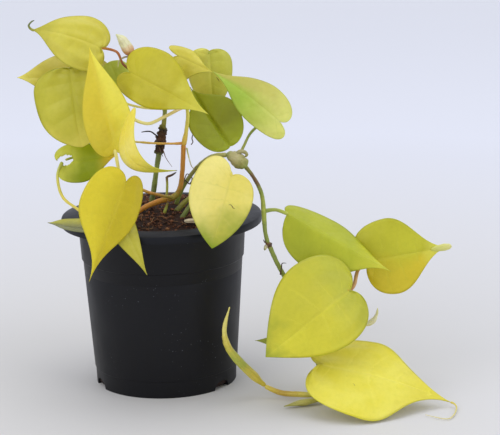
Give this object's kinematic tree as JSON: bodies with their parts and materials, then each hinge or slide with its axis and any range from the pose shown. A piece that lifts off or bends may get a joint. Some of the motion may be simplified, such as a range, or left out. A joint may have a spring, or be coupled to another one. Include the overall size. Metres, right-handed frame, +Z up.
{
  "type": "potted pothos plant",
  "caption": "Round tapered nursery pot of soil with a trailing vine: heart-shaped chartreuse leaves on thin petioles, the longest stem hanging over the rim down to the table.",
  "frame": {"origin": "centre of the pot's flat underside", "axes": "+Z up along the pot's axis, -Y towards the front of the plant, +X towards the stem that trails over the rim"},
  "size_m": [0.2541, 0.1557, 0.2232],
  "materials": {
    "charcoal_plastic": "satin",
    "peat": "matte",
    "chip_wood": "matte",
    "bark": "matte",
    "stem_green": "satin",
    "stem_orange": "satin",
    "stem_yellow": "satin",
    "leaf_yellow": "satin",
    "leaf_pale": "satin",
    "leaf_lime": "satin",
    "leaf_olive": "satin",
    "leaf_green": "satin",
    "petiole_orange": "satin",
    "petiole_yellow": "satin",
    "petiole_green": "satin",
    "sheath": "matte",
    "root": "matte"
  },
  "bodies": {
    "root": {"pot": "charcoal_plastic", "soil": "peat", "wood_chip": "chip_wood", "bark_node": "bark", "vine_ring": "bark", "stem_old": "stem_green", "stem_upper": "stem_green", "vine_upper": "stem_green", "vine_bud": "stem_green", "vine_middle": "stem_green", "vine_lower": "stem_green", "stem_middle": "stem_orange", "stem_middle_upper": "stem_yellow", "runner_left": "stem_yellow", "leaf_left_tall": "leaf_yellow", "leaf_front_left": "leaf_yellow", "leaf_trail_large": "leaf_yellow", "leaf_floor": "leaf_yellow", "leaf_rolled": "leaf_yellow", "leaf_bowed": "leaf_pale", "leaf_front_right": "leaf_pale", "leaf_front_narrow": "leaf_lime", "leaf_over_rim": "leaf_lime", "leaf_middle": "leaf_lime", "leaf_top_folded": "leaf_lime", "leaf_trail_first": "leaf_lime", "leaf_trail_far": "leaf_lime", "leaf_crest": "leaf_olive", "leaf_left_back": "leaf_olive", "leaf_left_oval": "leaf_olive", "leaf_top_round": "leaf_olive", "leaf_back_small": "leaf_green", "leaf_bitten": "leaf_green", "leaf_right_green": "leaf_green", "leaf_right_under": "leaf_green", "leaf_trail_small": "leaf_green", "petiole_crest": "petiole_orange", "petiole_trail_far": "petiole_orange", "petiole_left_oval": "petiole_yellow", "petiole_left_tall": "petiole_yellow", "petiole_bowed": "petiole_yellow", "petiole_front_narrow": "petiole_yellow", "petiole_over_rim": "petiole_yellow", "petiole_floor": "petiole_yellow", "petiole_rolled": "petiole_yellow", "petiole_front_left": "petiole_green", "petiole_middle": "petiole_green", "petiole_top_round": "petiole_green", "petiole_right_green": "petiole_green", "petiole_front_right": "petiole_green", "petiole_trail_first": "petiole_green", "petiole_trail_large": "petiole_green", "sheath_crest": "sheath", "sheath_floor": "sheath", "sheath_tendril": "sheath", "thread_floor": "sheath", "root_black": "root", "root_hook": "root"}
  },
  "joints": []
}
